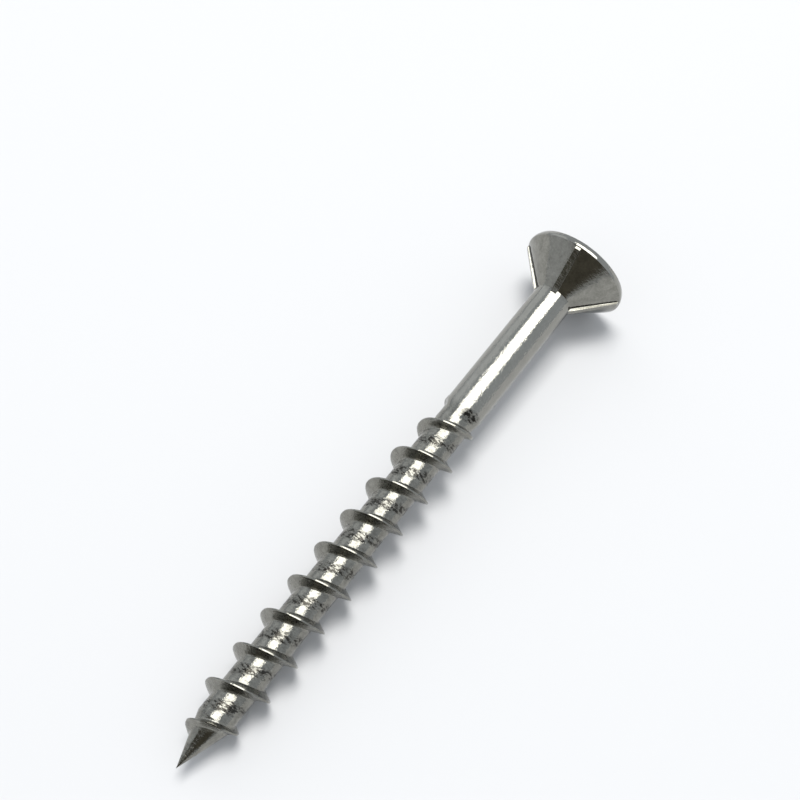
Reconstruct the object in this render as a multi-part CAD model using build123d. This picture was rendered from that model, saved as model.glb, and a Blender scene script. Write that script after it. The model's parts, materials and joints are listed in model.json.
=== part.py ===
from build123d import *
import os
from math import atan2, ceil, cos, degrees, pi, radians, sin, sqrt, tan

# Wood screw with a countersunk head and a tamper-resistant six-lobe recess.
# It is drawn upright: the axis is Z, the head's face lies at Z = 0 and the
# point is at Z = screw_length. The last step lays it down on its side.

# Blank: head, shank and root, in millimetres and degrees
screw_length = 51.6
head_diameter = 9.15
head_rim = 0.6
head_rim_taper = 0.14
head_rim_widest = 0.42
head_edge_round = 0.16
head_included_angle = 88.0
neck_fillet = 0.12
shank_diameter = 3.38
shank_length = 16.25
shank_step_length = 0.55
root_diameter = 3.04
point_included_angle = 38.0

# Thread: one right-hand ridge wound round the root
thread_diameter = 4.8
pitch = 3.26
crest_width = 0.15
crest_width_at_start = 0.4
flank_angle = 20.0
flare_height = 0.28
flare_angle = 45.0
crest_on_down_side = 20.23
start_lead = 0.2
start_growth_length = 5.4
crest_fall_length = 6.3
crest_fall_angle = 12.5
end_fade_length = 1.25
plain_point_length = 1.35
ridge_sink = 0.12
sections_per_turn = 24

# Six-lobe recess with a centre pin
recess_lobes = 6
recess_across_tips = 4.5
recess_across_valleys = 3.2
recess_tip_radius = 0.36
recess_depth = 2.1
pin_diameter = 1.9
pin_below_face = 0.25
pin_chamfer = 0.2

# Ribs under the head
rib_count = 4
rib_top_width = 0.46
rib_side_angle = 28.0
rib_height_at_rim = 0.15
rib_height_at_neck = 0.24
rib_inside_rim = 0.07
rib_run_on_shank = 0.3
rib_angle = -2.0
rib_sink = 0.5

head_radius = head_diameter / 2
shank_radius = shank_diameter / 2
root_radius = root_diameter / 2
thread_radius = thread_diameter / 2
pin_radius = pin_diameter / 2

# The head's cone runs from the rim down to the shank, and the point's cone
# starts where it meets the root.
head_slope = tan(radians(head_included_angle / 2))
neck_height = head_rim + (head_radius - shank_radius) / head_slope
point_slope = tan(radians(point_included_angle / 2))
point_height = screw_length - root_radius / point_slope
root_height = shank_length + shank_step_length

# The ridge is thin where it leaves the shank and full along the root. Towards
# the point its crest falls, and it is gone just above the point.
thread_start = shank_length - start_lead
thread_end = screw_length - plain_point_length
crest_fall_start = screw_length - crest_fall_length
crest_fall_slope = tan(radians(crest_fall_angle))


def core_radius(height):
    """Radius of the blank under the thread: shank, step, root, then the point's cone."""
    if height < shank_length:
        return shank_radius
    if height < root_height:
        share = (height - shank_length) / shank_step_length
        return shank_radius + share * (root_radius - shank_radius)
    return min(root_radius, point_slope * (screw_length - height))


def crest_radius(height):
    """Outer radius of the full ridge, level along the root and falling to the point."""
    return thread_radius - crest_fall_slope * max(0, height - crest_fall_start)


def ridge_share(height):
    """Share of the full ridge height: it grows out of the shank and fades at the point."""
    growth = min(1, max(0, (height - thread_start) / start_growth_length))
    fade = min(1, max(0, (thread_end - height) / end_fade_length))
    return sqrt(min(growth, fade))


def ridge_section(height):
    """Face across the ridge, where its crest is at this height, with flared feet."""
    share = ridge_share(height)
    core = core_radius(height)
    base = core - ridge_sink
    depth = ridge_sink / 2 + share * (crest_radius(height) - core + ridge_sink / 2)
    flare = min(flare_height + ridge_sink, depth / 2)
    crest = crest_width_at_start + share * (crest_width - crest_width_at_start)
    foot = crest / 2 + (depth - flare) * tan(radians(flank_angle))
    heel = foot + flare * tan(radians(flare_angle))
    half = [(base + depth, crest / 2), (base + flare, foot), (base, heel)]
    corners = half + [(radius, -rise) for radius, rise in reversed(half)]
    turned = 360 * (height - crest_on_down_side) / pitch
    flat = make_face(Polyline(*[(radius, 0, height + rise) for radius, rise in corners], close=True))
    return Rot(0, 0, turned) * flat


def ridge_piece(start, end):
    """Stretch of the ridge, lofted through sections that wind round the axis."""
    steps = ceil(sections_per_turn * (end - start) / pitch)
    heights = [start + (end - start) * step / steps for step in range(steps + 1)]
    return loft([ridge_section(height) for height in heights])


def make_ridge():
    """Whole ridge, one turn at a time, with the odd lengths at the start and the end."""
    turns = max(1, round((thread_end - thread_start) / pitch))
    heights = [thread_start + (thread_end - thread_start) * turn / turns for turn in range(turns + 1)]
    return [ridge_piece(start, end) for start, end in zip(heights, heights[1:])]


def make_blank():
    """Head, shank, root and point, turned from one outline."""
    outline = Polyline(
        (0, 0, 0),
        (head_radius - head_rim_taper, 0, 0),
        (head_radius, 0, head_rim_widest),
        (head_radius, 0, head_rim),
        (shank_radius, 0, neck_height),
        (shank_radius, 0, shank_length),
        (root_radius, 0, root_height),
        (root_radius, 0, point_height),
        (0, 0, screw_length),
        close=True,
    )
    blank = revolve(make_face(outline), axis=Axis.Z)
    circles = blank.edges().filter_by(GeomType.CIRCLE).sort_by(Axis.Z)
    blank = fillet([circles[0], circles[2]], head_edge_round)
    circles = blank.edges().filter_by(GeomType.CIRCLE)
    neck = [edge for edge in circles if abs(edge.center().Z - neck_height) < neck_fillet / 10]
    return fillet(neck, neck_fillet)


def make_ribs():
    """Ribs on the head's cone: straight bars with sloping sides, higher towards the neck."""
    steepness = cos(radians(head_included_angle / 2))
    rise_at_rim = rib_height_at_rim / steepness
    end_radius = head_radius - rib_inside_rim
    top = head_rim + (rib_inside_rim + rise_at_rim) / head_slope
    neck_radius = shank_radius + rib_height_at_neck / steepness
    end_slope = (neck_radius - shank_radius) / rib_run_on_shank
    outline = Polyline(
        (end_radius, 0, head_rim),
        (end_radius, 0, top),
        (neck_radius, 0, neck_height),
        (shank_radius - rib_sink, 0, neck_height + (neck_radius - shank_radius + rib_sink) / end_slope),
        (shank_radius - rib_sink, 0, neck_height - rib_sink),
        (end_radius - rib_sink, 0, head_rim),
        close=True,
    )
    side = extrude(make_face(outline), rib_top_width * 2, both=True)
    start = Vector(end_radius, 0, top)
    way = Vector(neck_radius, 0, neck_height) - start
    depth = 3 * rib_sink
    spread = depth * tan(radians(rib_side_angle))
    half = rib_top_width / 2
    across = Polyline((-half, 0), (half, 0), (half + spread, depth), (-half - spread, depth), close=True)
    plane = Plane(origin=start - way.normalized(), x_dir=(0, 1, 0), z_dir=way)
    bar = extrude(plane * make_face(across), way.length + 3)
    rib = side & bar
    return [Rot(0, 0, rib_angle + 360 * place / rib_count) * rib for place in range(rib_count)]


def make_recess():
    """Six-lobe recess: tip arcs and valley arcs that run into each other, less the pin."""
    tip_centre = recess_across_tips / 2 - recess_tip_radius
    valley = recess_across_valleys / 2
    half_lobe = pi / recess_lobes
    reach = 2 * tip_centre * cos(half_lobe)
    valley_radius = (valley**2 + tip_centre**2 - reach * valley - recess_tip_radius**2) / (
        2 * recess_tip_radius - 2 * valley + reach
    )
    valley_centre = valley + valley_radius
    share = recess_tip_radius / (recess_tip_radius + valley_radius)
    touch_x = tip_centre + share * (valley_centre * cos(half_lobe) - tip_centre)
    touch_y = share * valley_centre * sin(half_lobe)
    touch = Vector(touch_x, touch_y)
    tip = ThreePointArc((touch_x, -touch_y), (recess_across_tips / 2, 0), touch)
    middle = Vector(valley, 0).rotate(Axis.Z, degrees(half_lobe))
    after = Vector(touch_x, -touch_y).rotate(Axis.Z, 2 * degrees(half_lobe))
    bay = ThreePointArc(touch, middle, after)
    turns = [Rot(0, 0, 2 * degrees(half_lobe) * lobe) for lobe in range(recess_lobes)]
    outline = Wire([turn * arc for turn in turns for arc in (tip, bay)])
    recess = extrude(make_face(outline), recess_depth)
    pin = extrude(Circle(pin_radius), recess_depth)
    pin = chamfer(pin.edges().sort_by(Axis.Z)[:1], pin_chamfer)
    pin = Pos(0, 0, pin_below_face) * pin
    return recess - pin


screw = make_blank().fuse(*make_ridge())
screw = screw.fuse(*make_ribs())
screw = screw - make_recess()

# Lying down, the head's rim and the lowest full crest touch the ground, so the
# axis drops a little towards the point.
rest_drop = head_radius - thread_radius
full_crests = (crest_fall_start - crest_on_down_side) // pitch
rest_span = crest_on_down_side + full_crests * pitch - head_rim + head_edge_round
rest_tilt = degrees(atan2(rest_drop, rest_span))
screw = Rot(0, 90 + rest_tilt, 0) * screw
box = screw.bounding_box()
screw = Pos(-box.center().X, -box.center().Y, -box.min.Z) * screw

print("tilt", round(rest_tilt, 3), "box", screw.bounding_box(), "valid", screw.is_valid)
print("solids", len(screw.solids()), "faces", len(screw.faces()), "volume", round(screw.volume, 3))
os.makedirs("parts", exist_ok=True)
export_step(screw, "parts/screw.step")
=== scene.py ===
# %% [markdown]
# # A countersunk wood screw in rolled stainless steel
# The screw is one piece of wire that was headed, then rolled between two dies
# that pressed the thread up out of the blank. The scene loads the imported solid
# as a frame, finds the screw's axis in it, and wraps one detailed skin round
# that axis. The skin then takes the place of the plain solid in the picture.

import json

import bmesh
import bpy
import numpy as np
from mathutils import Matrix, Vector


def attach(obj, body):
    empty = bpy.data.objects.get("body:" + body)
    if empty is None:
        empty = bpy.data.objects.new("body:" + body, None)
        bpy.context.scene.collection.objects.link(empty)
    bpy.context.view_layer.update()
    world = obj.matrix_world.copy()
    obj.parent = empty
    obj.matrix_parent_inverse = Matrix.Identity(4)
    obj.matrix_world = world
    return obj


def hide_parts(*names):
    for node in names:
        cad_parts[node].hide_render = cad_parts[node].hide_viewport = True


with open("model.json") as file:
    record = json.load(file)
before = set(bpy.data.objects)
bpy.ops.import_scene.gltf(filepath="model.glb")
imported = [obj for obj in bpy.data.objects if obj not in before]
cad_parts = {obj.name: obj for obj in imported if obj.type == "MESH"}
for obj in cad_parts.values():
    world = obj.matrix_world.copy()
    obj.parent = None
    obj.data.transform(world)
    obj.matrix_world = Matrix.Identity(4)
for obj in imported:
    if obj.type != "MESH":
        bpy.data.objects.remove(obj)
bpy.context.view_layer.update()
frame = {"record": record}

# %% [markdown]
# ## Where the screw lies
# It lies on its side, on the rim of its head and on its thread, so its axis
# drops a little towards the point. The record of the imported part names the
# mouth of the drive recess and the way out of it. That gives the middle of
# the head's face and the axis, and with them three directions in which the
# rest of this file measures: along the axis towards the point, down, and
# sideways.

# %% The screw's own axis
mounts = {mount["name"]: mount for mount in frame["record"]["mounts"]}
mouth = mounts["drive_recess"]
head_middle = 1000 * np.array(mouth["pos_m"])
along = -np.array(mouth["axis"])
along = along / np.linalg.norm(along)
sideways = np.array([0.0, 1.0, 0.0])
down = np.cross(sideways, along)
axis_drop = float(np.arcsin(-along[2]))
print("drop of the axis, degrees:", round(np.degrees(axis_drop), 2))


def in_world(radius, height, angle):
    """Points in metres: the head's middle, plus the height along the axis, plus the
    radius turned by the angle from the down direction towards the side."""
    out = np.cos(angle)[..., None] * down + np.sin(angle)[..., None] * sideways
    return (head_middle + height[..., None] * along + radius[..., None] * out) / 1000


# %% [markdown]
# ## Real sizes
# All sizes are millimetres, and a height is measured along the axis from the
# face of the head. They are the sizes that the solid was drawn from, apart
# from a few that are fitted closer to the real screw: a thinner root, a
# narrower crest, a sharper foot and an earlier end of the thread, steeper
# sides of the ribs, and an uneven step from the shank to the root.

# %% Sizes of the blank
screw_length = 51.6
head_radius = 4.575
head_rim = 0.6
head_rim_taper = 0.14
head_rim_widest = 0.39
head_slope = np.tan(np.radians(44.0))
neck_round = 0.03
shank_radius = 1.69
shank_length = 16.25
root_radius = 1.46
point_slope = np.tan(np.radians(19.0))
neck_height = head_rim + (head_radius - shank_radius) / head_slope
print("the neck is", round(neck_height, 2), "mm below the face")

# %% Sizes of the thread
thread_radius = 2.4
pitch = 3.26
crest_width = 0.11
crest_width_at_start = 0.4
flank_slope = np.tan(np.radians(22.0))
foot_round = 0.12
crest_on_down_side = 20.23
start_lead = 0.2
start_growth_length = 5.4
crest_fall_length = 6.3
crest_fall_slope = np.tan(np.radians(12.5))
end_fade_length = 1.5
plain_point_length = 1.75
thread_start = shank_length - start_lead
thread_end = screw_length - plain_point_length
print("turns of the thread:", round((thread_end - thread_start) / pitch, 1))

# %% Ramps
tiny = 1e-6


def ramp_up(value, start, length):
    """Nothing up to the start, then an even rise to one within the length."""
    return np.clip((value - start) / length, 0, 1)


def ramp_down(value, end, length):
    """One, then an even fall within the length to nothing, which it is from the end on."""
    return np.clip((end - value) / length, 0, 1)


def turn_from(angle, side):
    """Angle from a side, which is given in degrees, at most half a turn either way."""
    return (angle - np.radians(side) + np.pi) % (2 * np.pi) - np.pi


print("half way up a ramp:", ramp_up(1.5, 1, 1))

# %% [markdown]
# ## The blank
# Cold heading leaves the cone, the neck and the shank as one smooth profile.
# The profile could be drawn as a curve and spun with a modifier. Here it is a
# function of the height, because the thread and the ribs are added to it
# later. Two straight lines are joined by a soft maximum, half of the sum of
# both plus the root of their difference squared plus a small amount squared,
# which rounds the corner between them. The rolling dies let go of the wire
# unevenly, so the step down to the root is long on most sides and short on
# two, with a faint ledge half way down.

# %% The step from the shank to the root
step_long = 1.5
step_shortened_by = 1.1
short_sides = ((130.0, 0.42), (253.0, 0.52))
ledge_depth = 0.14


def step_length(angle):
    """Length of the step: the long one, less a bell curve of the angle at each of the
    short sides, which are given in degrees with their width in radians."""
    length = step_long
    for side, width in short_sides:
        length = length - step_shortened_by * np.exp(-((turn_from(angle, side) / width) ** 2))
    return length


print("length of the step on the first short side:", round(float(step_length(np.radians(130.0))), 2))


# %% Radius of the blank
def soft_max(first, second, softness):
    """The larger of two, with the corner where they cross rounded by the softness."""
    return (first + second + np.sqrt((first - second) ** 2 + softness**2)) / 2


def blank_radius(height, angle):
    """Cone of the head, shank, step and root, then a cone that ends at the point. The
    step falls as three squares less two cubes of its share, plus a sine for the ledge."""
    step = ramp_up(height, shank_length, step_length(angle))
    ledge = ledge_depth * np.sin(2 * np.pi * step)
    drop = (shank_radius - root_radius) * (step * step * (3 - 2 * step) + ledge * step * (1 - step))
    head = head_radius - head_slope * (height - head_rim)
    body = soft_max(shank_radius - drop, head, neck_round)
    cone = point_slope * (screw_length - height)
    return np.clip(np.minimum(body, cone), 0, None)


print("radius in the middle of the shank:", round(float(blank_radius(shank_length / 2, 0.0)), 2))

# %% [markdown]
# ## The thread
# A thread can be made by sweeping a small section along a helix. Here the skin
# is a height field instead: for each place along and round the axis there is
# one radius. The blank gives a radius that depends mostly on the height, and
# the ridge adds to it near the helix. A height field can't tear or overlap
# itself where the ridge grows out of the shank. The dies also leave two fine
# seams along the root, where the metal from both sides was pressed together,
# so these are pressed into the same field.


# %% The ridge along the helix
def ridge_share(height):
    """Share of the full ridge: the root of the distance from its start, and towards
    the point a smooth fall, three squares less two cubes of the distance left."""
    growth = ramp_up(height, thread_start, start_growth_length)
    fade = ramp_down(height, thread_end, end_fade_length)
    return np.minimum(np.sqrt(growth), fade * fade * (3 - 2 * fade))


def crest_offset(height, angle):
    """Distance along the axis to the nearest crest of the helix, with its sign. Half way
    between two crests the tiny amount always picks the same one."""
    turns = (height - crest_on_down_side) / pitch - angle / (2 * np.pi)
    return (turns - np.floor(turns + 0.5 + tiny)) * pitch


print("a quarter turn on, the crest lies", round(pitch / 4, 2), "mm nearer to the point")

# %% The seams along the root
seam_offset = 1.25
seam_width = 0.045
seam_depth = 0.028
seam_start = 17.4
seam_growth = 0.8
seam_end = 48.6
seam_fade = 1.5
# Size in mm, waves in a turn, radians for each mm of height, and the start
seam_waves = ((0.05, 3, 1.3, 0.0), (0.035, 8, 2.1, 1.0), (0.02, 17, 0.7, 0.0))


def seam_share(height):
    """The seams start where the thread has grown a little, and end on the point."""
    return ramp_up(height, seam_start, seam_growth) * ramp_down(height, seam_end, seam_fade)


def seam_wander(height, angle):
    """A seam isn't quite even: the sum of three sine waves moves it to and fro."""
    wander = 0
    for size, in_turn, on_height, start in seam_waves:
        wander = wander + size * np.sin(in_turn * angle + on_height * height + start)
    return wander


print("the seams are", 2 * seam_offset, "mm apart across a crest, and", seam_depth, "mm deep")

# %% Radius of the screw
rounded_above = 0.4


def screw_radius(height, angle):
    """Blank plus ridge less seams. The ridge falls from its crest along a steep straight
    flank, and half of (x + root of x squared plus k squared) rounds its foot. The tiny
    amount keeps the division from zero. A seam is a narrow bell-shaped groove."""
    offset = crest_offset(height, angle)
    crest_height = height - offset
    fall = crest_fall_slope * np.maximum(0, crest_height - screw_length + crest_fall_length)
    share = ridge_share(crest_height)
    core = blank_radius(height, angle)
    tall = share * np.maximum(0, thread_radius - fall - blank_radius(crest_height, angle))
    half_crest = (crest_width_at_start + share * (crest_width - crest_width_at_start)) / 2
    left = tall - np.maximum(0, np.abs(offset) - half_crest) / flank_slope
    soft = foot_round * np.clip(tall / rounded_above, 0, 1) + tiny
    full = (tall + np.sqrt(tall**2 + soft**2)) / 2
    rise = (left + np.sqrt(left**2 + soft**2)) / 2
    away = np.abs(offset) - seam_offset - seam_wander(height, angle)
    seam = seam_depth * seam_share(height) * np.exp(-((away / seam_width) ** 2))
    return np.maximum(core + tall * rise / full - seam, 0)


crest_measured = float(screw_radius(np.array(crest_on_down_side + 3 * pitch), np.array(0.0)))
print("radius of a crest:", round(crest_measured, 3))

# %% [markdown]
# ## The drive
# Such screws are driven by a six-lobe recess with a pin in its middle, so the
# skin has one, as the solid. The photograph doesn't show it, so its form and
# its sizes are a guess. A recess could be cut with a boolean, which leaves
# long thin faces. Here the rows of the skin simply follow the lobed outline
# down and up again.

# %% The six-lobe outline
recess_lobes = 6
recess_tip = 2.25
recess_valley = 1.6
recess_tip_round = 0.36
recess_depth = 2.1
pin_radius = 0.95
pin_below_face = 0.25
pin_chamfer = 0.2


def lobe_radius(angle):
    """Radius of the recess. Each tip is the far side of a circle, each valley the near
    side of a larger one, and the two circles touch."""
    half = np.pi / recess_lobes
    tip_centre = recess_tip - recess_tip_round
    reach = 2 * tip_centre * np.cos(half)
    squares = recess_valley**2 + tip_centre**2 - reach * recess_valley - recess_tip_round**2
    valley_round = squares / (2 * recess_tip_round - 2 * recess_valley + reach)
    valley_centre = recess_valley + valley_round
    share = recess_tip_round / (recess_tip_round + valley_round)
    touch_across = share * valley_centre * np.sin(half)
    touch_out = tip_centre + share * (valley_centre * np.cos(half) - tip_centre)
    touch = np.arctan2(touch_across, touch_out)
    turned = np.abs((angle + half) % (2 * half) - half)
    on_tip = np.minimum(turned, touch)
    tip = tip_centre * np.cos(on_tip)
    tip = tip + np.sqrt(np.maximum(0, recess_tip_round**2 - (tip_centre * np.sin(on_tip)) ** 2))
    back = half - np.maximum(turned, touch)
    valley = valley_centre * np.cos(back)
    valley = valley - np.sqrt(np.maximum(0, valley_round**2 - (valley_centre * np.sin(back)) ** 2))
    return np.where(turned < touch, tip, valley)


print("recess from tip to valley, mm:", np.round(lobe_radius(np.radians([0, 10, 20, 30])), 2).tolist())

# %% [markdown]
# ## Ribs under the head
# Four narrow ribs run down the cone, so that the head cuts its own seat in the
# wood. They were pressed together with the head. Each is a straight bar with a
# flat top and steep sides, and two of these sides mirror the lamp as white
# lines. A bar has the same width all the way, so near it the columns of the
# skin keep the same distance from its middle instead of the same angle, and
# its edges stay sharp.

# %% Sizes of the ribs
rib_count = 4
rib_spacing = 2 * np.pi / rib_count
rib_angle = np.radians(-2.0)
rib_half_width = 0.24
rib_side_slope = np.tan(np.radians(2.0))
rib_height_at_rim = 0.15
rib_height_at_neck = 0.24
rib_inside_rim = 0.07
rib_run_on_shank = 0.3
rib_foot_round = 0.02
cone_cosine = np.cos(np.arctan(head_slope))
rib_end_radius = head_radius - rib_inside_rim
rib_top_height = head_rim + (rib_inside_rim + rib_height_at_rim / cone_cosine) / head_slope
rib_neck_radius = shank_radius + rib_height_at_neck / cone_cosine
print("a rib starts", round(rib_top_height, 2), "mm below the face")


# %% Reach of a rib
def rib_reach(height, lateral):
    """How far a rib reaches out from the axis: the lowest of its end at the rim, its
    straight top and its end on the shank, less the slope of its side."""
    fall = (rib_end_radius - rib_neck_radius) / (neck_height - rib_top_height)
    top = rib_neck_radius + fall * (neck_height - height)
    end = rib_neck_radius - (height - neck_height) * (rib_neck_radius - shank_radius) / rib_run_on_shank
    side = np.maximum(0, np.abs(lateral) - rib_half_width) / (rib_side_slope * cone_cosine)
    return np.minimum(np.minimum(top, end), rib_end_radius) - side


print("a rib reaches", round(float(rib_reach(head_rim + 1, 0.0)), 2), "mm out, 1 mm down the cone")

# %% [markdown]
# ## Columns of the skin
# The skin is a grid of rows and columns. Away from the ribs the columns are
# even. Beside a rib they lie at chosen distances from its middle, and four of
# them stand close together on its steep side.

# %% Columns
rib_zone = 0.5
on_rib_top = [0.0, 0.14, 0.222]
on_rib_side = [0.24, 0.241, 0.2435, 0.2465]
on_cone = [0.25, 0.28, 0.34, rib_zone]
beside_rib = np.array(on_rib_top + on_rib_side + on_cone)
beside_rib = np.arcsin(np.concatenate([-beside_rib[:0:-1], beside_rib]) / shank_radius)
zone_angle = np.arcsin(rib_zone / shank_radius)
columns_between = 15
between_ribs = np.linspace(zone_angle, rib_spacing - zone_angle, columns_between + 2)[1:-1]
one_span = np.concatenate([beside_rib, between_ribs])
columns = (rib_angle + rib_spacing * np.arange(rib_count)[:, None] + one_span).ravel() % (2 * np.pi)
columns = np.unique(np.round(np.concatenate([columns, [0, 2 * np.pi]]), 7))
columns[-1] = 2 * np.pi
print("columns:", len(columns))

# %% Columns beside the ribs
from_rib = (columns - rib_angle + rib_spacing / 2) % rib_spacing - rib_spacing / 2
rib_middle = columns - from_rib
in_zone = np.abs(from_rib) <= zone_angle + tiny
lateral = shank_radius * np.sin(np.clip(from_rib, -zone_angle, zone_angle))


def column_angles(radius):
    """Angles of the columns on a ring. Beside a rib the distance from its middle is kept,
    and between the ribs the columns share out what is left."""
    edge = np.arcsin(rib_zone / radius)
    beyond = (np.abs(from_rib) - zone_angle) / (rib_spacing / 2 - zone_angle)
    outside = np.sign(from_rib) * (edge + beyond * (rib_spacing / 2 - edge))
    return rib_middle + np.where(in_zone, np.arcsin(lateral / radius), outside)


print("columns beside the ribs:", int(in_zone.sum()))

# %% [markdown]
# ## Level rows: recess, face, rim, cone and shank
# A row holds a radius, a height and an angle for each column. Sharp edges are
# made by two rows close together, because the shading is smooth everywhere.
# The corners of the rim are rounded by curves that start along one straight
# side and end along the next.

# %% Rings and rounded corners
edge = 0.02


def ring(radius, height, angle=None):
    """One level row, round the axis at a height."""
    turned = columns if angle is None else angle
    return np.stack([radius + 0 * columns, height + 0 * columns, turned])


def rounded(before, corner, after, reach, steps=6):
    """Points of a curve in place of a corner: it leaves the first side at a distance of
    reach from the corner and joins the second side as far behind it."""
    before, corner, after = (np.array(point) for point in (before, corner, after))
    first = corner + (before - corner) / np.linalg.norm(before - corner) * reach
    last = corner + (after - corner) / np.linalg.norm(after - corner) * reach
    t = np.linspace(0, 1, steps)[:, None]
    return (1 - t) ** 2 * first + 2 * t * (1 - t) * corner + t**2 * last


print("a row has", ring(1, 0).shape[1], "places")


# %% Rows of the recess
def recess_rows():
    """Rows from the middle of the pin, down to the floor of the recess and up its wall."""
    lobes = lobe_radius(columns)
    pin_top = pin_radius - pin_chamfer
    rows = [ring(0, pin_below_face), ring(pin_top / 2, pin_below_face)]
    rows += [ring(pin_top - edge, pin_below_face), ring(pin_top, pin_below_face + edge / 2)]
    rows += [ring(pin_radius - edge / 2, pin_below_face + pin_chamfer - edge / 2)]
    rows += [ring(pin_radius, pin_below_face + pin_chamfer + edge)]
    rows += [ring(pin_radius, recess_depth - edge), ring(pin_radius + edge, recess_depth)]
    rows += [ring((pin_radius + lobes) / 2, recess_depth)]
    rows += [ring(lobes - edge, recess_depth), ring(lobes, recess_depth - edge)]
    rows += [ring(lobes, recess_depth / 2), ring(lobes, 3 * edge), ring(lobes + edge, edge)]
    return rows + [ring(lobes + 3 * edge, 0)]


level = recess_rows()
print("rows of the recess:", len(level))

# %% Rows of the face and the rim
rim_reaches = (0.13, 0.04, 0.05)
face_inside_rim = 0.2


def face_and_rim_rows():
    """Flat face, and the rim with its three rounded corners down to the cone. The first
    and last point of the outline only give the directions of the sides there."""
    lobes = lobe_radius(columns)
    on_rim = column_angles(head_radius)
    face_radius = head_radius - head_rim_taper
    outline = [
        (face_radius - 1, 0),
        (face_radius, 0),
        (head_radius, head_rim_widest),
        (head_radius, head_rim),
        (head_radius - head_slope, head_rim + 1),
    ]
    rows = []
    for share in (0.25, 0.5, 0.75):
        turned = columns + share * (on_rim - columns)
        rows += [ring(lobes + share * (face_radius - face_inside_rim - lobes), 0, turned)]
    for place, reach in enumerate(rim_reaches):
        for radius, height in rounded(*outline[place : place + 3], reach):
            rows += [ring(radius, height, on_rim)]
    return rows


level += face_and_rim_rows()
print("with the face and the rim:", len(level))

# %% Rows of the cone
cone_start = 0.67
cone_run_on_shank = 0.5
cone_row_count = 44
kink = 0.012


def cone_rows():
    """Cone with its ribs, and the start of the shank. Beside a rib the skin is the higher
    one of the cone and the rib, with a small round where they meet. Two rows close
    together mark each place where a rib's outline turns."""
    turns = np.array([rib_top_height, neck_height, neck_height + rib_run_on_shank])
    even = np.linspace(cone_start, neck_height + cone_run_on_shank, cone_row_count)
    rows = []
    for height in np.sort(np.concatenate([even, turns - kink, turns + kink])):
        blank = float(blank_radius(np.array(height), 0.0))
        plain = np.sqrt(blank**2 - lateral**2)
        out = soft_max(plain, rib_reach(height, lateral), rib_foot_round)
        out = out - soft_max(plain, plain - 1, rib_foot_round) + plain
        angle = np.where(in_zone, rib_middle + np.arctan2(lateral, out), column_angles(blank))
        radius = np.where(in_zone, np.hypot(out, lateral), blank)
        rows += [np.stack([radius, height + 0 * columns, angle])]
    return rows


level += cone_rows()
print("with the cone:", len(level))

# %% Rows of the shank
shank_row_count = 24


def shank_rows():
    """Plain rings down to where the thread's rows take over."""
    start, end = neck_height + cone_run_on_shank, thread_start - pitch / 2
    heights = np.linspace(start, end, shank_row_count)[1:]
    return [ring(float(blank_radius(np.array(height), 0.0)), height) for height in heights]


level += shank_rows()
level = np.array(level)
print("level rows:", len(level))

# %% [markdown]
# ## Climbing rows: the thread
# On the thread the rows climb with the helix, so one row stays on the crest
# all the way, and two more follow the seams. The sharp crest needs few faces
# then. Where a row would climb past an end it stays at that end, and the
# welding of the mesh closes what is left.

# %% Distances of the rows from the crest
on_crest = crest_width / 2 * np.array([0.0, 0.9, 1.0, 1.15])
on_flank = np.array([0.15, 0.25, 0.34])
on_foot = np.array([0.40, 0.44, 0.48, 0.53, 0.60])
on_root = np.array([0.67, 0.76, 0.86, 0.96, 1.06])
on_seam = seam_offset + seam_width * np.array([-2.4, -1.1, 0.0, 1.1, 2.4])
between_seams = np.array([1.45, pitch / 2])
half_offsets = np.concatenate([on_crest, on_flank, on_foot, on_root, on_seam, between_seams])
offsets = np.concatenate([-half_offsets[-2:0:-1], half_offsets])
print("rows in each turn:", len(offsets))

# %% Rows of all turns
tip_length = 0.05
first_height = float(level[-1, 1, 0])
last_height = screw_length - tip_length
first_turn = np.floor((first_height - crest_on_down_side) / pitch) - 1
last_turn = np.ceil((screw_length - crest_on_down_side) / pitch) + 1
crests = crest_on_down_side + pitch * np.arange(first_turn, last_turn)
base = (crests[:, None] + offsets).ravel()
order = np.argsort(base, kind="stable")
base = base[order]
print("crests, with those beyond both ends:", len(crests))

# %% Rows that follow the seams
follow_reach = 0.25
follow_surplus = 1.4
follows = np.clip(follow_surplus - np.abs(np.abs(offsets) - seam_offset) / follow_reach, 0, 1)
follows[np.isclose(np.abs(offsets), pitch / 2)] = 0
follows = np.tile(np.sign(offsets) * follows, len(crests))[order]
print("share by which a row follows a seam:", follows.min(), "to", follows.max())

# %% Rows of the thread
climb = base[:, None] + pitch * columns / (2 * np.pi)
climb = climb + follows[:, None] * seam_wander(climb, columns[None, :])
climb = np.maximum.accumulate(np.clip(climb, first_height, last_height), axis=0)
climb = climb[(climb.max(axis=1) > first_height) & (climb.min(axis=1) < last_height)]
wound = np.broadcast_to(columns, climb.shape)
thread = np.stack([screw_radius(climb, wound), climb, wound], axis=1)
print("climbing rows:", len(thread))

# %% Rows of the point
tip_row_count = 6
tip_rise = screw_length - last_height
tip = [
    ring(point_slope * tip_rise * np.sqrt(1 - share * share), last_height + share * tip_rise)
    for share in np.linspace(0, 1, tip_row_count)
]
print("rows of the point:", len(tip))
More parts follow.
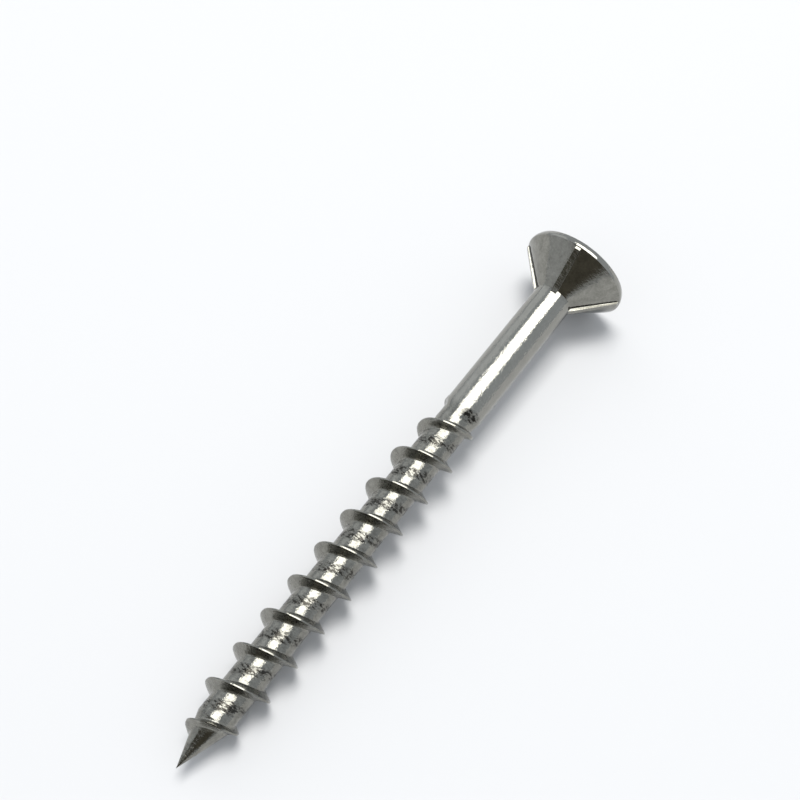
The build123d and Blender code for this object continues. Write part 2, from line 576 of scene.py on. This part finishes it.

# %% [markdown]
# ## Where the metal differs
# The screw is one metal, but not the same all over. Between the two seams the
# dies didn't press it smooth, so that band is rough and cracked. Where the
# thread begins, one side of the step gets a dark spot of painted shade in place
# of a darker reflection, with pits, and the bare point is worn. The drawn shank
# is brighter, the rim of the head is brighter as a painted sheen in place of a
# brighter reflection, and the flanks of the thread are satin. These places could
# be painted by hand on a picture. Here each vertex gets a number for each of them,
# from the same heights and angles as the shape, and the material reads the
# numbers. A pair of sizes is the place where a ramp starts or ends, and its length.

# %% Rough band and painted step shade
band_edge = 0.7
band_edge_width = 0.35
band_least = 0.25
band_beside_flank = (0.42, 0.1)
band_end = (49.0, 1.0)
# Painted shade: a dark spot at the step stands in for a darker reflection there, and gets pits
step_shade_side = 135
step_shade_height = 16.75
step_shade_length = 0.42
step_shade_width = 0.4
step_shade_strength = 3.0
step_shade_most = 2.2
worn_strength = 0.5
worn_start = (49.6, 0.3)
worn_end = (51.5, 0.2)


def rough_band_and_step_shade(height, angle):
    """One between the seams, a quarter beside them, nothing on the flanks or off the thread.
    Painted shade at the step, with pits, is a bell curve of height and angle with its top cut
    off, the worn point a ramp up and one down, and the roughest of the three counts."""
    offset = np.abs(crest_offset(height, angle))
    inside = offset - seam_offset - seam_wander(height, angle)
    band = np.clip(band_edge + inside / band_edge_width, band_least, 1)
    band = band * ramp_up(offset, *band_beside_flank)
    band = band * ramp_up(height, seam_start, seam_growth) * ramp_down(height, *band_end)
    away = turn_from(angle, step_shade_side) / step_shade_width
    step_shade = step_shade_strength * np.exp(-(((height - step_shade_height) / step_shade_length) ** 2) - away**2)
    worn = worn_strength * ramp_up(height, *worn_start) * ramp_down(height, *worn_end)
    return np.maximum(np.maximum(band, np.minimum(step_shade, step_shade_most)), worn)


print("on the bare point:", round(float(rough_band_and_step_shade(np.array(50.5), np.array(0.0))), 2))

# %% Grain and drawn metal
grain_heights = (3, 7, 15, 17.5)
grain_amounts = (0.25, 0.9, 1.6, 1.0)
drawn_start = (3.6, 0.4)
drawn_end = (17.0, 0.8)
# Painted sheen: the rim of the head gets a lighter colour in place of a brighter reflection
sheen_rim_radius = 4.2
sheen_rim_start = (0.02, 0.05)
sheen_rim_end = (0.64, 0.05)


def grain_amount(height):
    """How deep the fine grain is: shallow on the head, deepest near the thread's start."""
    return np.interp(height, grain_heights, grain_amounts)


def drawn_amount(radius, height):
    """One on the shank, and on the rim of the head as a painted sheen, nothing elsewhere."""
    shank = ramp_up(height, *drawn_start) * ramp_down(height, *drawn_end)
    rim_sheen = ramp_up(height, *sheen_rim_start) * ramp_down(height, *sheen_rim_end)
    return shank + (radius > sheen_rim_radius) * rim_sheen


print("grain half way down the shank:", grain_amount(10.0))

# %% Satin flanks
satin_beside_crest = (0.06, 0.03)
satin_above_root = (0.6, 0.15)
satin_start = (16.8, 0.8)
satin_end = (50.2, 1.0)


def flank_amount(height, angle):
    """One on the flanks of the thread, nothing on its crest, on the root or off it."""
    offset = np.abs(crest_offset(height, angle))
    satin = ramp_up(offset, *satin_beside_crest) * ramp_down(offset, *satin_above_root)
    return satin * ramp_up(height, *satin_start) * ramp_down(height, *satin_end)


print("satin on a crest:", float(flank_amount(np.array(crest_on_down_side), np.array(0.0))))

# %% [markdown]
# ## One mesh
# The rows become one closed mesh. A modifier could skin them, but a grid of
# rows and columns is quickly turned into faces by counting: a face joins two
# neighbours in one row with the two below them. Faces of no size, at the
# pin's middle and at the point, are welded away, and the normals are made to
# face outwards.


# %% A grid of points as a mesh
def grid_mesh(name, points):
    """Mesh from rows and columns of points: each cell between two rows and two columns
    is a face."""
    row_count, column_count = points.shape[:2]
    start = np.arange(row_count - 1)[:, None] * column_count + np.arange(column_count - 1)
    faces = np.stack([start, start + 1, start + column_count + 1, start + column_count], axis=-1)
    mesh = bpy.data.meshes.new(name)
    mesh.from_pydata(points.reshape(-1, 3).tolist(), [], faces.reshape(-1, 4).tolist())
    return mesh


def keep_numbers(mesh, name, numbers):
    """Stores one number for each vertex, which a material finds by its name."""
    layer = mesh.attributes.new(name, "FLOAT", "POINT")
    layer.data.foreach_set("value", numbers.ravel().astype(np.float32))


rows = np.concatenate([level, thread, np.array(tip)])
radius, height, angle = rows[:, 0], rows[:, 1], rows[:, 2]
mesh = grid_mesh("screw_skin", in_world(radius, height, angle))
keep_numbers(mesh, "rough_band_and_step_shade", rough_band_and_step_shade(height, angle))
keep_numbers(mesh, "grain", grain_amount(height))
keep_numbers(mesh, "drawn", drawn_amount(radius, height))
keep_numbers(mesh, "flank", flank_amount(height, angle))
print("faces before the welding:", len(mesh.polygons))

# %% Weld
same_place = 2e-8
no_length = 1e-8


def weld(mesh):
    """Welds away what has no size, turns the normals outwards and shades all faces
    smooth. Gives back the number of edges that don't lie between two faces."""
    shaper = bmesh.new()
    shaper.from_mesh(mesh)
    bmesh.ops.remove_doubles(shaper, verts=shaper.verts, dist=same_place)
    bmesh.ops.dissolve_degenerate(shaper, edges=shaper.edges, dist=no_length)
    bmesh.ops.recalc_face_normals(shaper, faces=shaper.faces)
    open_edges = sum(1 for item in shaper.edges if len(item.link_faces) != 2)
    shaper.to_mesh(mesh)
    shaper.free()
    mesh.polygons.foreach_set("use_smooth", np.ones(len(mesh.polygons), dtype=bool))
    return open_edges


open_edges = weld(mesh)
skin = bpy.data.objects.new("screw_skin", mesh)
bpy.context.scene.collection.objects.link(skin)
triangles = sum(len(face.vertices) - 2 for face in mesh.polygons)
print(skin.name, "triangles:", triangles, "open edges:", open_edges)

# %% [markdown]
# ## Rolled stainless steel
# The wire is stainless steel of the 18-8 kind. It was drawn, headed and
# rolled, and then tumbled until it shone. That leaves faint rings, soft waves
# and a fine grain, and the rough band has cracks and dark pores. All of it is
# about a hundredth of a millimetre deep, so it bends the reflections without
# changing the outline. A picture of a real screw could be wrapped round the
# skin, but noise with patches of a real size does the same from every side,
# and it has no seam.


# %% Helpers for materials
def linear(code):
    """Linear colour of an sRGB hex code: each channel's curve undone."""
    part = np.array([int(code[i : i + 2], 16) for i in (0, 2, 4)]) / 255
    lit = np.where(part <= 0.04045, part / 12.92, ((part + 0.055) / 1.055) ** 2.4)
    return (*lit.tolist(), 1.0)


def add(tree, kind, settings=None, values=None, links=None):
    """Adds a node of any kind, with its settings, its socket values and its links."""
    node = tree.nodes.new(kind)
    for key, value in (settings or {}).items():
        setattr(node, key, value)
    for key, value in (values or {}).items():
        node.inputs[key].default_value = value
    for key, source in (links or {}).items():
        tree.links.new(source, node.inputs[key])
    return node


def per_metre(millimetres):
    """Noise scale that gives patches of a size in millimetres."""
    return 1000 / millimetres


print("middle grey as light:", round(linear("808080")[0], 3))

# %% The patterns
# Length along the screw and width across it in mm, then detail and roughness
patterns = {
    "rings": (0.11, 0.5, 2.0, 0.5),
    "waves": (0.48, 0.34, 1.0, 0.5),
    "grain": (0.15, 0.19, 2.0, 0.55),
    "cracks": (0.17, 0.42, 3.0, 0.65),
    "patches": (0.9, 0.5, 4.0, 0.6),
}


def pattern_sockets(tree):
    """One noise for each pattern. The place on the screw is first turned level, so that
    the patterns lie along its axis, and then scaled by one over the size of a patch."""
    place = add(tree, "ShaderNodeTexCoord").outputs["Object"]
    turn = {"Rotation": (0, -axis_drop, 0)}
    level_place = add(tree, "ShaderNodeMapping", values=turn, links={"Vector": place}).outputs[0]
    sockets = {}
    for name, (length, width, detail, roughness) in patterns.items():
        scale = {"Scale": (per_metre(length), per_metre(width), per_metre(width))}
        scaled = add(tree, "ShaderNodeMapping", values=scale, links={"Vector": level_place})
        values = {"Scale": 1.0, "Detail": detail, "Roughness": roughness}
        noise = add(tree, "ShaderNodeTexNoise", values=values, links={"Vector": scaled.outputs[0]})
        sockets[name] = noise.outputs[0]
    return sockets


print("patterns:", ", ".join(patterns))


# %% Sums and products of patterns
def weighted_sum(tree, start, terms):
    """A number plus the product of each socket and its weight, one node for each term. A
    weight is a number or a socket."""
    total = start
    for socket, weight in terms:
        inputs = {0: socket, 1: weight, 2: total}
        values = {key: value for key, value in inputs.items() if isinstance(value, float)}
        links = {key: value for key, value in inputs.items() if key not in values}
        total = add(tree, "ShaderNodeMath", {"operation": "MULTIPLY_ADD"}, values, links).outputs[0]
    return total


def masked(tree, socket, mask):
    """A pattern only where its mask says, as the product of both."""
    return weighted_sum(tree, 0.0, [(socket, mask)])


pore_threshold = {"From Min": 0.54, "From Max": 0.60}


def dark_pores(tree, cracks, band):
    """The highest spots of the crack noise, only on the rough band. The band raises the
    noise a little, so its roughest places get more of them."""
    raised = weighted_sum(tree, 0.0, [(cracks, 1.0), (band, 0.05)])
    spots = add(tree, "ShaderNodeMapRange", values=pore_threshold, links={"Value": raised})
    return masked(tree, spots.outputs[0], band)


print("pores start where the noise is above", pore_threshold["From Min"])

# %% Colour of the metal
dull_and_pale = ("73726C", "95948D")
# Brighter colour of the drawn shank, also used as a painted sheen on the rim of the head
drawn_colour = "989791"
pore_colour = "2E2C28"
tone_range = {"From Min": 0.3, "From Max": 0.7}


def metal_colour(tree, noise, mask, pores):
    """Between a dull and a pale grey by patches and grain, then brighter on the shank and, as a
    painted sheen, on the rim of the head, then dark in the pores, a little darker on the whole
    rough band, and darker at the step, where the dark is painted shade."""
    mottled = weighted_sum(tree, 0.0, [(noise["patches"], 0.6), (noise["grain"], 0.4)])
    tone = add(tree, "ShaderNodeMapRange", values=tone_range, links={"Value": mottled}).outputs[0]
    # The rough band darkens a little; at the step this darkening is painted shade
    dark = weighted_sum(tree, 0.0, [(pores, 0.7), (mask["rough_band_and_step_shade"], 0.22)])
    drawn = weighted_sum(tree, 0.0, [(mask["drawn"], 0.6)])
    rgba = {"data_type": "RGBA"}
    ends = {6: linear(dull_and_pale[0]), 7: linear(dull_and_pale[1])}
    colour = add(tree, "ShaderNodeMix", rgba, ends, {0: tone}).outputs[2]
    for share, code in ((drawn, drawn_colour), (dark, pore_colour)):
        colour = add(tree, "ShaderNodeMix", rgba, {7: linear(code)}, {0: share, 6: colour}).outputs[2]
    return colour


print("pore, as light:", np.round(linear(pore_colour)[:3], 3).tolist())

# %% Stainless steel
relief = 1e-5
shine = 0.035


def stainless():
    """Rolled and tumbled 18-8 stainless steel. The weighted sum of the noises is the
    height of the surface, in hundredths of a millimetre."""
    material = bpy.data.materials.new("rolled_stainless_steel")
    material.use_nodes = True
    tree = material.node_tree
    tree.nodes.clear()
    noise = pattern_sockets(tree)
    mask = {}
    for name in ("rough_band_and_step_shade", "grain", "drawn", "flank"):
        mask[name] = add(tree, "ShaderNodeAttribute", {"attribute_name": name}).outputs["Fac"]
    band = mask["rough_band_and_step_shade"]
    pores = dark_pores(tree, noise["cracks"], band)
    grain = masked(tree, noise["grain"], mask["grain"])
    cracks = masked(tree, noise["cracks"], band)
    heights = [(noise["rings"], 0.8), (noise["waves"], 0.9), (grain, 2.0), (pores, -1.2), (cracks, 3.5)]
    height = weighted_sum(tree, 0.0, heights)
    bump = add(tree, "ShaderNodeBump", values={"Strength": 1.0, "Distance": relief}, links={"Height": height})
    roughness = weighted_sum(tree, shine, [(noise["patches"], 0.08), (band, 0.05), (mask["flank"], 0.2)])
    links = {"Base Color": metal_colour(tree, noise, mask, pores), "Roughness": roughness}
    links["Normal"] = bump.outputs["Normal"]
    shader = add(tree, "ShaderNodeBsdfPrincipled", values={"Metallic": 1.0}, links=links)
    add(tree, "ShaderNodeOutputMaterial", links={"Surface": shader.outputs[0]})
    print("nodes of the steel:", len(tree.nodes))
    return material


skin.data.materials.append(stainless())
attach(skin, "root")
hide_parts("screw")

# %% [markdown]
# ## The table
# The screw lies on pale matt paper. A studio would curve the sheet up at the
# back. A plain plane does here, because the camera looks down on it and sees
# only the part round the screw.

# %% Floor
scene = bpy.context.scene
scene.view_settings.view_transform = "Standard"
table_side = 0.9
bpy.ops.mesh.primitive_plane_add(size=table_side, location=(0, 0, 0))
floor = bpy.context.object
floor.name = "floor"


def matt(name, code, roughness):
    """Plain matt material of one colour."""
    material = bpy.data.materials.new(name)
    material.use_nodes = True
    shader = material.node_tree.nodes["Principled BSDF"]
    shader.inputs["Base Color"].default_value = linear(code)
    shader.inputs["Roughness"].default_value = roughness
    shader.inputs["Specular IOR Level"].default_value = 0.0
    return material


floor.data.materials.append(matt("white_paper", "CECDCC", 1.0))
print("table, m:", table_side)

# %% [markdown]
# ## The room
# Bright metal has hardly a colour of its own: it shows what stands round it.
# The room is pale, and a curved panel of dark cloth on the camera's side gives
# the dark parts. Photographers put up such a panel so that the edges of shiny
# metal stand out. It could be a black card, but then its edges would show as
# hard lines in the metal, so the cloth grows pale towards three of its sides.
# Only the metal sees it: it is hidden from the camera, throws no shadow and
# doesn't dim the paper.


# %% Directions and the shade of the cloth
def direction(azimuth, elevation):
    """Unit vector from the screw towards an azimuth and an elevation in degrees."""
    turn, rise = np.radians(azimuth), np.radians(elevation)
    return np.stack([np.cos(rise) * np.cos(turn), np.cos(rise) * np.sin(turn), np.sin(rise)], axis=-1)


fold_azimuth = -26
fold_lean = 2.0
fold_lean_above = 26
fold_width = 24
cloth_top = (62, 12)
cloth_foot = (-1, 14)


def cloth_shade(azimuth, elevation):
    """How dark the cloth is: ramps at its fold, its top and its foot, multiplied. Above a
    certain elevation the fold leans sideways."""
    fold = fold_azimuth - fold_lean * np.maximum(0, elevation - fold_lean_above)
    shade = ramp_up(azimuth, fold, fold_width) * ramp_down(elevation, *cloth_top)
    return shade * ramp_up(elevation, *cloth_foot)


print("shade in the middle of the cloth:", cloth_shade(20.0, 30.0))

# %% Panel of cloth
panel_azimuths = (-72, 63)
panel_elevations = (0.5, 62)
panel_distance = 0.44
panel_columns = 49
panel_rows = 17
azimuth, elevation = np.meshgrid(
    np.linspace(*panel_azimuths, panel_columns), np.linspace(*panel_elevations, panel_rows)
)
mesh = grid_mesh("dark_panel", panel_distance * direction(azimuth, elevation))
keep_numbers(mesh, "shade", cloth_shade(azimuth, elevation))
panel = bpy.data.objects.new("dark_panel", mesh)
scene.collection.objects.link(panel)
panel.visible_camera = False
panel.visible_shadow = False
panel.visible_diffuse = False
print("faces of the panel:", len(mesh.polygons))

# %% Cloth
cloth_pale = "E3E4E5"
cloth_dark = "6B665B"
cloth = matt("dark_cloth", cloth_dark, 1.0)
tree = cloth.node_tree
darkness = add(tree, "ShaderNodeAttribute", {"attribute_name": "shade"}).outputs["Fac"]
ends = {6: linear(cloth_pale), 7: linear(cloth_dark)}
dyed = add(tree, "ShaderNodeMix", {"data_type": "RGBA"}, ends, {0: darkness})
tree.links.new(dyed.outputs[2], tree.nodes["Principled BSDF"].inputs["Base Color"])
panel.data.materials.append(cloth)
print("nodes of the cloth:", len(tree.nodes))

# %% Room
room_colour = linear("D8DEE5")
world = bpy.data.worlds.new("room")
world.use_nodes = True
scene.world = world
back = world.node_tree.nodes["Background"]
back.inputs["Color"].default_value = room_colour
back.inputs["Strength"].default_value = 1.0
print("room, as light:", np.round(room_colour[:3], 2).tolist())

# %% [markdown]
# ## The lamps
# One large soft box above the head end gives the white stripe along the shank
# and the white lines on the thread. As the only lamp it would throw a wide
# shadow, and the one in the photograph is short. So the box is seen only in
# the metal, and a smaller lamp, which the metal doesn't mirror, lights the
# table and throws the shadow. The third is dimmer than the room. It stands
# for a wall at the side, which shows as a darker patch in the metal.


# %% Lamps
def soft_lamp(name, azimuth, elevation, distance, size, strength, colour):
    """Rectangular lamp that faces the screw from an azimuth and an elevation, in degrees,
    and is turned so that its sides run along and across the table. Its strength is how
    bright its face looks, where white paper is one."""
    way = Vector(direction(azimuth, elevation))
    light = bpy.data.lights.new(name, "AREA")
    light.shape = "RECTANGLE"
    light.size, light.size_y = size
    light.energy = strength * np.pi * size[0] * size[1]
    light.color = linear(colour)[:3]
    lamp = bpy.data.objects.new(name, light)
    lamp.location = way * distance
    lamp.rotation_euler = (-np.arcsin(way.y), -np.arctan2(-way.x, way.z), 0)
    scene.collection.objects.link(lamp)
    print(name, "watts:", round(light.energy, 2))
    return lamp


key_box = soft_lamp(
    "key_box", azimuth=153.9, elevation=77.8, distance=0.6, size=(0.53, 0.526), strength=5.0, colour="FFFDF8"
)
key_box.visible_diffuse = False
table_lamp = soft_lamp(
    "table_lamp", azimuth=200, elevation=78, distance=0.6, size=(0.255, 0.255), strength=16.0, colour="FFFFFF"
)
table_lamp.visible_glossy = False
soft_lamp(
    "side_wall", azimuth=-112, elevation=30, distance=0.7, size=(0.5, 0.4), strength=0.35, colour="FFFFFF"
)

# %% [markdown]
# ## The camera
# It stands where the photograph was taken from: high above the point's side,
# and so close that the head end looks smaller than it would from far away.
# It could be placed by eye. Here its place and its lens are fitted, so that
# the ends of the screw and the crests of the thread lie where they do in the
# photograph.

# %% Camera at the photograph's angle
camera_azimuth = 37.03
camera_elevation = 62.07
camera_distance = 0.12478
aim = Vector((-0.008774, -0.005855, 0.0))
way = Vector(direction(camera_azimuth, camera_elevation))
view = bpy.data.cameras.new("photo_view")
view.lens = 67.5
view.sensor_width = 36.0
view.clip_start = 0.01
camera = bpy.data.objects.new("photo_view", view)
camera.location = aim + way * camera_distance
camera.rotation_euler = way.to_track_quat("Z", "Y").to_euler()
scene.collection.objects.link(camera)
scene.camera = camera
print("camera above the table, mm:", round(1000 * camera.location.z, 1))
